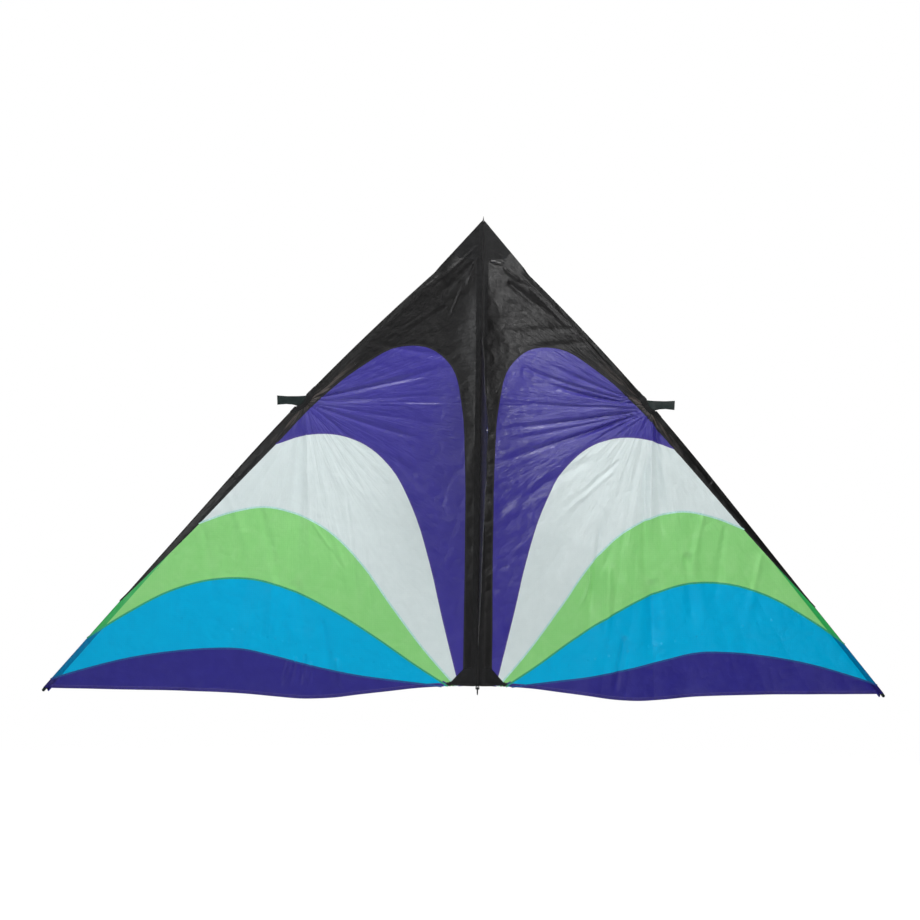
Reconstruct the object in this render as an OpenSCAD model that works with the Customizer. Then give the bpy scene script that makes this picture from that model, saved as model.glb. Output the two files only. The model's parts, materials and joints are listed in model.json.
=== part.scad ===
// Delta kite: a seven-foot single-line delta with two hinged wings, a keel and a two-piece spreader.
// Millimetres. +Z runs up the spine to the nose, +X to the right wing, -Y out of the keel side.
// The origin is the centre of the tow eyelet at the keel's tip.

/* [Sail] */
// Distance between the wing tips with the wings spread
span = 2134; // [2000:1:2300]
// Height of the sail from its tail edge to its nose
sail_h = 1140; // [1080:1:1220]
// Angle that each wing leans back, in degrees
dihedral = 16; // [12:0.5:20]
// Thickness of the solid that stands for one layer of sailcloth
cloth_t = 0.8; // [0.6:0.1:1]
// Angle through which the upper leading edge bends, in degrees
le_bend = 6.8; // [5:0.1:8]
// Radius of that bend
le_bow_r = 6000; // [5000:50:7000]

/* [Keel] */
// Depth of the keel from the sail to its tip
keel_depth = 220; // [180:1:260]
// Height of the keel's upper corner
keel_top = 870; // [800:1:920]
// Height of the keel's lower corner
keel_bottom = 88; // [60:1:160]
// Height of the tow eyelet
tow_height = 624; // [560:1:680]
// Thickness of the keel's doubled cloth
keel_t = 1.2; // [0.8:0.1:1.6]

/* [Tow eyelet] */
// Radius of the hole that takes the line clip
eyelet_hole_r = 3.2; // [2.8:0.1:3.6]
// Radius of the eyelet's flanges
eyelet_flange_r = 7.5; // [6.5:0.1:9]
// Length of the eyelet's barrel
eyelet_len = 4.6; // [4:0.1:6]

/* [Rods] */
// Radius of every fibreglass rod
rod_r = 3; // [2.5:0.1:3.4]
// Distance from the sail back to the middle of the rods in their sleeves
rod_back = 6.5; // [6:0.1:8]
// Outer radius of the brass ferrules that join the rod halves
ferrule_r = 3.9; // [3.7:0.05:4]
// Length of those ferrules
ferrule_len = 70; // [50:1:90]
// Inner radius of the cloth sleeves
sleeve_in_r = 4.2; // [4.1:0.05:4.4]
// Outer radius of the cloth sleeves
sleeve_out_r = 4.7; // [4.6:0.05:4.9]

/* [Spreader and connectors] */
// Place of each connector, as a share of the leading edge's length
connector_share = 0.316; // [0.3:0.002:0.34]
// Length of the connector's socket, from the spar towards the spine
socket_len = 42; // [35:1:50]
// Outer radius of the socket
socket_r = 5.5; // [5:0.1:6]
// Length of the flat tab that stands out past the leading edge
tab_len = 65; // [50:1:80]
// Height of the tab's free end
tab_h = 23; // [18:1:26]
// Thickness of the tab
tab_t = 4.4; // [3.5:0.1:5]
// Length of the collar around the spar
collar_len = 38; // [30:1:44]
// Outer radius of that collar
collar_r = 4.9; // [4.7:0.1:5.4]
// Distance that the right half enters the spreader's ferrule
plug_in = 10; // [8:0.5:11]

/* [Tail loop] */
// Radius of the loop's ring
loop_r = 9.5; // [9:0.1:11]
// Radius of the loop's cord
loop_cord_r = 1; // [0.8:0.1:1.1]

/* [Hidden] */
$fn = 64;

// Colours of the cloths and the fittings.
black_cloth = [0.09, 0.09, 0.10];
purple_cloth = [0.29, 0.25, 0.62];
white_cloth = [0.83, 0.87, 0.88];
green_cloth = [0.48, 0.80, 0.47];
blue_cloth = [0.00, 0.62, 0.83];
violet_cloth = [0.20, 0.16, 0.50];
black_tape = [0.05, 0.05, 0.06];
fibreglass = [0.12, 0.12, 0.13];
vinyl = [0.06, 0.10, 0.10];
brass = [0.72, 0.58, 0.30];
nickel = [0.78, 0.78, 0.80];

// Standard cut: seam points are written for a flat half width of 1110 and a height of 1140,
// and stretch with the sail.
cut_w = 1110;
cut_h = 1140;
tip_u = span / 2 / cos(dihedral);
function cut(u, v) = [u * tip_u / cut_w, v * sail_h / cut_h];

// Corners of one wing, as [distance from the hinge, height].
hinge_gap = 6;
nose_v = 1134;
band_w = 36;
spar_top = cut(122, 1010);
wing_tip = cut(1110, -30);

// Leading edge: an arc from spar_top, then a straight line to wing_tip that is tangent to it.
le_tangent = le_bow_r * tan(le_bend / 2);
le_chord = norm(wing_tip - spar_top);
le_straight = sqrt(pow(le_chord, 2) - pow(le_tangent * sin(le_bend), 2))
  - le_tangent * cos(le_bend) - le_tangent;
le_dir = atan2(wing_tip[1] - spar_top[1], wing_tip[0] - spar_top[0])
  - asin(le_tangent * sin(le_bend) / le_chord);
le_arc = le_bow_r * le_bend * PI / 180;
le_len = le_arc + le_straight;
function outward(a) = [-sin(a), cos(a)];
function along(a) = [cos(a), sin(a)];
le_joint = wing_tip - le_straight * along(le_dir);
le_centre = le_joint - le_bow_r * outward(le_dir);
function le_heading(s) = s < le_arc ? le_dir + le_bend * (1 - s / le_arc) : le_dir;
function le_at(s, inset) = s < le_arc
  ? le_centre + (le_bow_r - inset) * outward(le_heading(s))
  : le_joint + (s - le_arc) * along(le_dir) - inset * outward(le_dir);
function le_run(s0, s1) = let (n = ceil((min(s1, le_arc) - s0) / 50))
  s0 < le_arc
  ? concat([for (i = [0:n - 1]) le_at(s0 + (min(s1, le_arc) - s0) * i / n, 0)],
    s1 > le_arc ? [le_joint, le_at(s1, 0)] : [le_at(s1, 0)])
  : [le_at(s0, 0), le_at(s1, 0)];

// Places along the leading edge where the black band starts and ends, and the green and blue end.
band_start = 0.206 * le_len;
black_end = 0.794 * le_len;
green_end = 0.882 * le_len;
blue_end = 0.98 * le_len;

// A smooth line through a list of points.
seam_steps = 5;
function slope(p, i) = i == 0 ? (p[1] - p[0]) / norm(p[1] - p[0])
  : i == len(p) - 1 ? (p[i] - p[i - 1]) / norm(p[i] - p[i - 1])
  : let (a = norm(p[i] - p[i - 1]), b = norm(p[i + 1] - p[i]))
    ((p[i + 1] - p[i]) * a / b + (p[i] - p[i - 1]) * b / a) / (a + b);
function hermite(a, b, ma, mb, t) = (2 * t * t * t - 3 * t * t + 1) * a
  + (t * t * t - 2 * t * t + t) * norm(b - a) * ma
  + (3 * t * t - 2 * t * t * t) * b + (t * t * t - t * t) * norm(b - a) * mb;
function smooth(p) = concat([for (i = [0:len(p) - 2]) for (k = [0:seam_steps - 1])
  hermite(p[i], p[i + 1], slope(p, i), slope(p, i + 1), k / seam_steps)], [p[len(p) - 1]]);
function part(p, a, b) = [for (i = [a * seam_steps:b * seam_steps]) p[i]];
function back(p) = [for (i = [len(p) - 1:-1:0]) p[i]];
function inner(p) = [for (i = [1:len(p) - 2]) p[i]];
function rest(p) = [for (i = [1:len(p) - 1]) p[i]];

// Seams of one wing, each from the leading edge side to the tail edge.
tail_edge = smooth([
  cut(hinge_gap, 0), cut(band_w, 0), cut(46, -1), cut(56, -1), cut(76, -2), cut(92, -3),
  cut(150, -8), cut(225, -18), cut(300, -28), cut(370, -38), cut(440, -42), cut(510, -39),
  cut(600, -33), cut(760, -30), cut(950, -30), wing_tip
]);
black_seam = smooth([
  cut(band_w, 0), cut(35, 330), cut(38, 560), cut(47, 680), cut(76, 782), cut(130, 826),
  cut(205, 831), cut(309, 777), cut(413, 694), cut(517, 587), cut(607, 495), cut(711, 387),
  cut(810, 289), le_at(black_end, 0)
]);
purple_seam = smooth([
  cut(517, 587), cut(440, 611), cut(361, 612), cut(290, 587), cut(225, 530), cut(170, 432),
  cut(125, 300), cut(90, 160), cut(46, -1)
]);
white_seam = smooth([
  cut(711, 387), cut(624, 417), cut(545, 430), cut(465, 414), cut(385, 374), cut(309, 304),
  cut(225, 195), cut(140, 88), cut(56, -1)
]);
green_seam = smooth([
  le_at(green_end, 0), cut(889, 163), cut(783, 218), cut(677, 248), cut(571, 250),
  cut(465, 220), cut(361, 171), cut(257, 110), cut(155, 44), cut(76, -2)
]);
blue_seam = smooth([
  le_at(blue_end, 0), cut(997, 20), cut(889, 48), cut(783, 66), cut(677, 76), cut(600, 76),
  cut(518, 60), cut(413, 36), cut(309, 18), cut(205, 7), cut(92, -3)
]);

nose_outline = concat(
  [cut(hinge_gap, 680), cut(hinge_gap, nose_v)], le_run(0, band_start),
  back(part(black_seam, 3, 7))
);
edge_outline = concat(le_run(band_start, black_end), back(inner(part(black_seam, 7, 13))),
  [part(black_seam, 7, 7)[0]]);
centre_outline = concat([cut(hinge_gap, 0), cut(hinge_gap, 680)], back(part(black_seam, 0, 3)));
purple_outline = concat(
  part(black_seam, 0, 9), rest(purple_seam), back(inner(part(tail_edge, 1, 2)))
);
white_outline = concat(
  back(purple_seam), inner(part(black_seam, 9, 11)), white_seam,
  back(inner(part(tail_edge, 2, 3)))
);
green_outline = concat(
  back(white_seam), inner(part(black_seam, 11, 13)), le_run(black_end, green_end),
  rest(green_seam), back(inner(part(tail_edge, 3, 4)))
);
blue_outline = concat(
  back(green_seam), blue_seam, back(inner(part(tail_edge, 4, 5)))
);
violet_outline = concat(back(blue_seam), back(rest(part(tail_edge, 5, 15))));

// Reinforcing patches of one wing.
nose_patch_outline = [
  cut(hinge_gap, 1040), cut(hinge_gap, nose_v - 3), cut(72, 1062), cut(60, 1046)
];
tail_patch_outline = [cut(hinge_gap, 44), cut(34, 44), cut(76, 1), cut(hinge_gap, 3)];

// Connector: its place on the leading edge and in the spread kite.
connector_s = connector_share * le_len;
connector_heading = le_heading(connector_s);
connector_uv = le_at(connector_s, sleeve_out_r);
connector_x = connector_uv[0] * cos(dihedral) - rod_back * sin(dihedral);
connector_y = connector_uv[0] * sin(dihedral) + rod_back * cos(dihedral);
notch_r = 32;
notch_out = 24;
sleeve_gap = 26;

// Frames: the kite is drawn around its hinge line and then moved to the eyelet; a wing is drawn
// flat, with z towards the front, and then stood up and leaned back.
eyelet_depth = keel_depth - 15;
module kite() { translate([0, eyelet_depth, -tow_height]) children(); }
module left() { mirror([1, 0, 0]) children(); }
module wing() { kite() rotate([0, 0, dihedral]) rotate([90, 0, 0]) children(); }
module on_keel() { kite() rotate([90, 0, -90]) children(); }
module up_spine(z) { kite() translate([0, rod_back, z]) children(); }
module on_spar(s) {
  p = le_at(s, sleeve_out_r);
  translate([p[0], p[1], -rod_back]) rotate([0, 0, le_heading(s)]) rotate([0, 90, 0]) children();
}
module sweep_arc(s0, s1) {
  translate([le_centre[0], le_centre[1], -rod_back])
    rotate([0, 0, 90 + le_heading(s1)])
      rotate_extrude(angle = le_heading(s0) - le_heading(s1), $fn = 2000)
        translate([le_bow_r - sleeve_out_r, 0]) children();
}
module cloth(outline) { linear_extrude(height = cloth_t, center = true) polygon(outline); }
module patch(outline) {
  translate([0, 0, cloth_t / 2 + 0.1]) linear_extrude(height = 0.5) polygon(outline);
}
module tube(r_out, r_in, h) {
  difference() {
    cylinder(r = r_out, h = h);
    translate([0, 0, -1]) cylinder(r = r_in, h = h + 2);
  }
}
module notch() {
  p = le_at(connector_s + 5, -notch_out);
  translate([p[0], p[1], -20]) cylinder(r = notch_r, h = 40);
}

// Keel.
keel_outline = [
  [5, keel_bottom], [5, keel_top], [keel_depth - 9, tow_height + 17], [keel_depth, tow_height + 4],
  [keel_depth, tow_height - 5], [keel_depth - 8, tow_height - 19]
];
module eyelet_hole() {
  translate([eyelet_depth, tow_height, -10]) cylinder(r = eyelet_hole_r + 0.6, h = 20);
}
module keel_panel() {
  color([0.13, 0.12, 0.16]) on_keel() difference() {
    linear_extrude(height = keel_t, center = true) polygon(keel_outline);
    eyelet_hole();
  }
}
module keel_tip_patch() {
  color(black_tape) on_keel() for (side = [0, 1]) mirror([0, 0, side]) difference() {
    translate([0, 0, keel_t / 2 + 0.05]) linear_extrude(height = 0.5) polygon([
      [keel_depth - 62, tow_height + 74], [keel_depth - 9, tow_height + 16],
      [keel_depth - 1, tow_height + 4], [keel_depth - 1, tow_height - 5],
      [keel_depth - 9, tow_height - 19], [keel_depth - 48, tow_height - 118],
      [keel_depth - 74, tow_height - 20]
    ]);
    eyelet_hole();
  }
}
flange_in = keel_t / 2 + 0.6;
module tow_eyelet() {
  half = eyelet_len / 2;
  wall_r = eyelet_hole_r + 0.5;
  color(nickel) rotate([0, -90, 0]) rotate_extrude() polygon([
    [eyelet_hole_r, -half], [wall_r + 1.2, -half], [wall_r + 1.5, -half + 0.25],
    [wall_r + 1.2, -half + 0.4], [wall_r, -half + 0.4], [wall_r, flange_in],
    [eyelet_flange_r, flange_in], [eyelet_flange_r, flange_in + 0.3],
    [wall_r + 1.2, half - 0.1], [wall_r, half], [eyelet_hole_r, half]
  ]);
}
module tow_eyelet_washer() {
  wall_r = eyelet_hole_r + 0.55;
  color(nickel) rotate([0, 90, 0]) rotate_extrude() polygon([
    [wall_r, flange_in], [eyelet_flange_r, flange_in], [eyelet_flange_r, flange_in + 0.3],
    [wall_r + 1.6, flange_in + 0.6], [wall_r, flange_in + 0.6]
  ]);
}

// Spine.
spine_foot = 3;
spine_head = 1122;
spine_joint = 0.5 * (spine_head + spine_foot);
module spine_lower_rod() {
  color(fibreglass) up_spine(spine_foot) cylinder(r = rod_r, h = spine_joint - spine_foot - 0.1);
}
module spine_upper_rod() {
  color(fibreglass) up_spine(spine_joint + 0.1)
    cylinder(r = rod_r, h = spine_head - spine_joint - 0.1);
}
module spine_ferrule() {
  color(brass) up_spine(spine_joint - ferrule_len / 2) tube(ferrule_r, rod_r + 0.05, ferrule_len);
}
module spine_sleeve() {
  color(black_cloth) up_spine(20) tube(sleeve_out_r, sleeve_in_r, 1070);
}
module centre_seam() {
  color(black_cloth) kite() translate([-4.5, 0.6, 6]) cube([9, cloth_t, nose_v - 16]);
}
module nose_cap() {
  color(vinyl) up_spine(1100) difference() {
    union() {
      cylinder(r = 4.1, h = 30);
      translate([0, 0, 30]) sphere(r = 4.1);
    }
    translate([0, 0, -1]) cylinder(r = rod_r + 0.05, h = spine_head - 1100 + 1.1);
  }
}
loop_hole_z = -2.5;
loop_hole_r = 2.6;
tail_cap_r = 4.8;
module tail_cap() {
  color(vinyl) difference() {
    up_spine(-8) cylinder(r = tail_cap_r, h = 24);
    up_spine(spine_foot - 0.1) cylinder(r = rod_r + 0.05, h = 20);
    up_spine(loop_hole_z) rotate([90, 0, 0]) cylinder(r = loop_hole_r, h = 20, center = true);
  }
}
module tail_loop() {
  color(black_tape) up_spine(loop_hole_z + 0.6 - loop_r) rotate([0, 90, 0])
    rotate_extrude() translate([loop_r, 0]) circle(r = loop_cord_r, $fn = 32);
}

// One wing, drawn as the right one.
module nose_panel() { color(black_cloth) wing() cloth(nose_outline); }
module centre_band() { color(black_cloth) wing() cloth(centre_outline); }
module edge_band() {
  color(black_cloth) wing() difference() {
    cloth(edge_outline);
    notch();
  }
}
module purple_panel() { color(purple_cloth) wing() cloth(purple_outline); }
module white_panel() { color(white_cloth) wing() cloth(white_outline); }
module green_panel() { color(green_cloth) wing() cloth(green_outline); }
module blue_panel() { color(blue_cloth) wing() cloth(blue_outline); }
module violet_panel() { color(violet_cloth) wing() cloth(violet_outline); }
module nose_patch() { color(black_tape) wing() patch(nose_patch_outline); }
module tail_patch() { color(black_tape) wing() patch(tail_patch_outline); }
module notch_patch() {
  reach = 44;
  color(black_tape) wing() difference() {
    patch(concat(
      [for (i = [-4:4]) le_at(connector_s + i * reach / 4, 0)],
      [for (i = [4:-1:-4]) le_at(connector_s + i * reach / 4, 6 + 14 * (1 - pow(i / 4, 2)))]
    ));
    notch();
  }
}
module upper_sleeve() {
  color(black_cloth) wing() sweep_arc(2, connector_s - sleeve_gap) difference() {
    circle(r = sleeve_out_r);
    circle(r = sleeve_in_r);
  }
}
module lower_sleeve() {
  color(green_cloth) wing() union() {
    sweep_arc(connector_s + sleeve_gap, le_arc) difference() {
      circle(r = sleeve_out_r);
      circle(r = sleeve_in_r);
    }
    on_spar(le_arc) tube(sleeve_out_r, sleeve_in_r, le_straight - 2);
  }
}
module upper_spar() { color(fibreglass) wing() sweep_arc(4, le_arc) circle(r = rod_r); }
module lower_spar() {
  color(fibreglass) wing() on_spar(le_arc) translate([0, 0, 0.1])
    cylinder(r = rod_r, h = le_straight - 4);
}
module spar_ferrule() {
  color(brass) wing() on_spar(le_arc) translate([0, 0, -ferrule_len / 2])
    tube(ferrule_r, rod_r + 0.15, ferrule_len);
}
module tip_cap() {
  color(vinyl) wing() on_spar(le_len - 16) difference() {
    union() {
      cylinder(r = 4, h = 20);
      translate([0, 0, 20]) sphere(r = 4);
    }
    translate([0, 0, -1]) cylinder(r = rod_r + 0.05, h = 14);
  }
}

// Spreader and its connectors, drawn on the right. Their line is parallel to X.
module at_connector() { kite() translate([connector_x, connector_y, connector_uv[1]]) children(); }
module tab_outline() {
  polygon([
    [-4, -tab_h / 2], [12, -tab_h / 2 - 3], [28, -tab_h / 2 + 1], [tab_len - 22, -tab_h / 2 + 2],
    [tab_len, -tab_h / 2], [tab_len + 1, tab_h / 2], [tab_len - 24, tab_h / 2 - 1.5],
    [12, tab_h / 2 - 1], [-12, tab_h / 2 + 1]
  ]);
}
module connector() {
  color(vinyl) at_connector() difference() {
    union() {
      rotate([0, -90, 0]) cylinder(r = socket_r, h = socket_len);
      rotate([0, 0, dihedral]) rotate([0, -connector_heading, 0]) rotate([0, 90, 0])
        cylinder(r = collar_r, h = collar_len, center = true);
      rotate([90, 0, 0]) linear_extrude(height = tab_t, center = true) tab_outline();
    }
    rotate([0, 0, dihedral]) rotate([0, -connector_heading, 0]) rotate([0, 90, 0])
      cylinder(r = rod_r + 0.1, h = 80, center = true);
    translate([-9, 0, 0]) rotate([0, -90, 0]) cylinder(r = rod_r + 0.05, h = socket_len);
  }
}
module spreader_rod(reach) {
  color(fibreglass) at_connector() translate([-10, 0, 0]) rotate([0, -90, 0])
    cylinder(r = rod_r, h = reach - 10);
}
module spreader_ferrule() {
  color(brass) kite() translate([0, connector_y, connector_uv[1]]) rotate([0, -90, 0]) difference() {
    cylinder(r = 4.5, h = 48);
    translate([0, 0, plug_in + 3]) cylinder(r = rod_r + 0.05, h = 60);
    translate([0, 0, -1]) cylinder(r = rod_r + 0.5, h = plug_in + 3);
  }
}

keel_panel();
keel_tip_patch();
tow_eyelet();
tow_eyelet_washer();
spine_upper_rod();
spine_lower_rod();
spine_ferrule();
spine_sleeve();
centre_seam();
nose_cap();
tail_cap();
tail_loop();
left() nose_panel();  // left_nose_panel
left() edge_band();  // left_edge_band
left() centre_band();  // left_centre_band
left() purple_panel();  // left_purple_panel
left() white_panel();  // left_white_panel
left() green_panel();  // left_green_panel
left() blue_panel();  // left_blue_panel
left() violet_panel();  // left_violet_panel
left() nose_patch();  // left_nose_patch
left() tail_patch();  // left_tail_patch
left() notch_patch();  // left_notch_patch
left() upper_sleeve();  // left_upper_sleeve
left() lower_sleeve();  // left_lower_sleeve
left() upper_spar();  // left_upper_spar
left() lower_spar();  // left_lower_spar
left() spar_ferrule();  // left_spar_ferrule
left() tip_cap();  // left_tip_cap
nose_panel();  // right_nose_panel
edge_band();  // right_edge_band
centre_band();  // right_centre_band
purple_panel();  // right_purple_panel
white_panel();  // right_white_panel
green_panel();  // right_green_panel
blue_panel();  // right_blue_panel
violet_panel();  // right_violet_panel
nose_patch();  // right_nose_patch
tail_patch();  // right_tail_patch
notch_patch();  // right_notch_patch
upper_sleeve();  // right_upper_sleeve
lower_sleeve();  // right_lower_sleeve
upper_spar();  // right_upper_spar
lower_spar();  // right_lower_spar
spar_ferrule();  // right_spar_ferrule
tip_cap();  // right_tip_cap
left() connector();  // left_connector
left() spreader_rod(connector_x - plug_in - 3.5);  // left_spreader_rod
spreader_ferrule();
connector();  // right_connector
spreader_rod(connector_x + plug_in);  // right_spreader_rod
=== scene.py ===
"""A delta kite: two folding wings of nested arched panels, a front keel, sleeved rods and a spreader."""

import json
import math

import bpy
import numpy as np
from mathutils import Matrix, Vector, geometry


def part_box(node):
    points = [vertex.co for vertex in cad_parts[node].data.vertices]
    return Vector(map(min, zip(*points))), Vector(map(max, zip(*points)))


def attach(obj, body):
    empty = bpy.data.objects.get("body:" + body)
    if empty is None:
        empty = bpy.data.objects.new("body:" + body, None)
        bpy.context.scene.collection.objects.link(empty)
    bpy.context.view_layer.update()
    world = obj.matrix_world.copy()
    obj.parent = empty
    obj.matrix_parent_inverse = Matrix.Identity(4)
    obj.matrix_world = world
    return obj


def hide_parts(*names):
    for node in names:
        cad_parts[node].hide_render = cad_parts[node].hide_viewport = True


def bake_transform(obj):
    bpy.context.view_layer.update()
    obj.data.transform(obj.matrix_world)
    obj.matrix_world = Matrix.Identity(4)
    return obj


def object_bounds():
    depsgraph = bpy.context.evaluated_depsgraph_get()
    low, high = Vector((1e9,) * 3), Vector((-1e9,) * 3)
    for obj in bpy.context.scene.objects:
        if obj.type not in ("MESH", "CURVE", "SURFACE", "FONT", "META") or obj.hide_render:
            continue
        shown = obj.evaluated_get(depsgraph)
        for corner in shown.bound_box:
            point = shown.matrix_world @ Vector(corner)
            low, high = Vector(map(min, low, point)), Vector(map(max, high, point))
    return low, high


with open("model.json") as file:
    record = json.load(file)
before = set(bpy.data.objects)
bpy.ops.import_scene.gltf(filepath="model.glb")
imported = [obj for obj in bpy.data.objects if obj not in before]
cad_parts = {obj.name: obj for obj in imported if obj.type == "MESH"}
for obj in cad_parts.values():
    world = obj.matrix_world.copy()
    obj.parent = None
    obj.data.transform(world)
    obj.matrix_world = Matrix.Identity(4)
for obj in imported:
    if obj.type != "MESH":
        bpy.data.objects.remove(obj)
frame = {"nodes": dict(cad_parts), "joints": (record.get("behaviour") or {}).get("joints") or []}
cad_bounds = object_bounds()
MM = 0.001
SIDES = {"left": -1, "right": 1}

# ---- Places taken from the CAD frame

# A wing is flat there: u runs out from the hinge line, v up, and n towards the keel's side, in metres.


def node_points(name):
    return np.array([v.co for v in frame["nodes"][name].data.vertices], float)


def joint_place(name):
    return np.array(next(j["pos_m"] for j in frame["joints"] if j["name"] == name), float)


HINGE_Y = joint_place("right_wing_fold")[1]
FOOT_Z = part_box("right_centre_band")[0].z
_middle = node_points("right_blue_panel").mean(0)
DIHEDRAL = math.atan2(_middle[1] - HINGE_Y, _middle[0])
_low, _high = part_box("spine_sleeve")
SLEEVE_R = (_high.x - _low.x) / 2
ROD_BACK = (_high.y + _low.y) / 2 - HINGE_Y


def to_wing(points):
    """Row frame to (u, v, n) of the right wing."""
    x, y, z = points[:, 0], points[:, 1] - HINGE_Y, points[:, 2] - FOOT_Z
    c, s = math.cos(DIHEDRAL), math.sin(DIHEDRAL)
    return np.stack([x * c + y * s, z, x * s - y * c], axis=1)


def from_wing(side, u, v, n):
    """(u, v, n) of a wing to the row frame."""
    c, s = math.cos(DIHEDRAL), math.sin(DIHEDRAL)
    return np.stack([SIDES[side] * (u * c + n * s), HINGE_Y + u * s - n * c, FOOT_Z + v], axis=1)


# The leading edge: a bowed stretch and then a straight one, a sleeve's radius outside its rods.
BOW_RADIUS = 6.0
CLOTH_PAST_TIP = 2 * MM
CLOTH_PAST_TOP = 4 * MM
_spar = to_wing(node_points("right_lower_spar"))[:, :2]
_centre = (_spar.min(0) + _spar.max(0)) / 2
_, _, _axes = np.linalg.svd(_spar - _spar.mean(0))
LE_ALONG = _axes[0] * np.sign(_axes[0][0])
LE_OUT = np.array([-LE_ALONG[1], LE_ALONG[0]])
_half = np.abs((_spar - _centre) @ LE_ALONG).max()
LE_JOINT = _centre - _half * LE_ALONG + SLEEVE_R * LE_OUT
LE_CENTRE = LE_JOINT - BOW_RADIUS * LE_OUT
LE_TIP_S = 2 * _half + CLOTH_PAST_TIP


def edge_place(u, v):
    """Distance along the leading edge, positive from the rods' joint to the tip, and inset from it."""
    p = np.stack([u, v], axis=-1)
    along = (p - LE_JOINT) @ LE_ALONG
    from_centre = p - LE_CENTRE
    angle = np.arctan2(from_centre @ LE_ALONG, from_centre @ LE_OUT)
    bowed = along < 0
    s = np.where(bowed, BOW_RADIUS * angle, along)
    straight_inset = -((p - LE_JOINT) @ LE_OUT)
    inset = np.where(bowed, BOW_RADIUS - np.linalg.norm(from_centre, axis=-1), straight_inset)
    return s, inset


def edge_point(s, inset):
    """(u, v) at a place along the leading edge and a distance in from it."""
    s, inset = np.broadcast_arrays(np.asarray(s, float), np.asarray(inset, float))
    a = np.minimum(s, 0) / BOW_RADIUS
    out = np.cos(a)[..., None] * LE_OUT + np.sin(a)[..., None] * LE_ALONG
    return LE_CENTRE + (BOW_RADIUS - inset)[..., None] * out + np.maximum(s, 0)[..., None] * LE_ALONG


_top = to_wing(node_points("right_upper_spar"))
LE_TOP_S = edge_place(_top[:, 0], _top[:, 1])[0].min() - CLOTH_PAST_TOP
CONNECTOR = to_wing(joint_place("right_spreader_swing")[None])[0]
CONNECTOR_S = float(edge_place(CONNECTOR[0], CONNECTOR[1])[0])
SLEEVE_GAP = 26 * MM

# ---- Camera and lights

CAMERA_DISTANCE = 9.0
CAMERA_YAW = math.radians(4.5)
CAMERA_ROLL = math.radians(0.7)
VIEW_WIDTH = 2.2466
VIEW_HEIGHT_ON_SAIL = 0.560
VIEW_OFFSET = (-0.050, -0.0073)
SENSOR_MM = 36.0


def make_camera():
    forward = Vector((math.sin(CAMERA_YAW), math.cos(CAMERA_YAW), 0))
    level = Vector((math.cos(CAMERA_YAW), -math.sin(CAMERA_YAW), 0))
    upright = Vector((0, 0, 1))
    right = level * math.cos(CAMERA_ROLL) + upright * math.sin(CAMERA_ROLL)
    up = upright * math.cos(CAMERA_ROLL) - level * math.sin(CAMERA_ROLL)
    aim = Vector((0, HINGE_Y, FOOT_Z + VIEW_HEIGHT_ON_SAIL))
    aim += right * VIEW_OFFSET[0] + up * VIEW_OFFSET[1]
    data = bpy.data.cameras.new("photo_camera")
    data.sensor_width = SENSOR_MM
    data.lens = SENSOR_MM * CAMERA_DISTANCE / VIEW_WIDTH
    data.clip_end = 60
    camera = bpy.data.objects.new("photo_camera", data)
    bpy.context.collection.objects.link(camera)
    turn = Matrix((right, up, -forward)).transposed().to_4x4()
    camera.matrix_world = Matrix.Translation(aim - forward * CAMERA_DISTANCE) @ turn
    bpy.context.scene.camera = camera


make_camera()


def softbox(name, azimuth, elevation, distance, aim_v, size, power, colour=(1, 1, 1)):
    """An area light that faces a height on the sail. Azimuth 0 is in front, and positive to the right."""
    a, e = math.radians(azimuth), math.radians(elevation)
    aim = Vector((0, HINGE_Y, FOOT_Z + aim_v))
    away = Vector((math.sin(a) * math.cos(e), -math.cos(a) * math.cos(e), math.sin(e)))
    data = bpy.data.lights.new(name, "AREA")
    data.shape = "RECTANGLE"
    data.size, data.size_y = size
    data.energy = power
    data.color = colour
    light = bpy.data.objects.new(name, data)
    bpy.context.collection.objects.link(light)
    light.location = aim + away * distance
    light.rotation_euler = (-away).to_track_quat("-Z", "Y").to_euler()


def make_lights():
    softbox("key_right", 40, 2, 2.1, 0.84, (0.4, 0.4), 8)
    softbox("key_middle", 20, 4, 2.4, 0.7, (0.5, 0.5), 7.6)
    softbox("key_left", -18, 4, 2.4, 0.7, (0.5, 0.5), 4.2)
    softbox("side_left", -60, 6, 2.2, 0.6, (0.5, 0.9), 9, (0.97, 0.985, 1.0))
    softbox("top_left", -50, 50, 2.2, 0.6, (0.8, 0.6), 25)
    softbox("top_right", 50, 50, 2.2, 0.6, (0.8, 0.6), 24)
    softbox("back_fill", 165, 25, 5.0, 0.5, (2.2, 2.2), 150)


# ---- Materials


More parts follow.
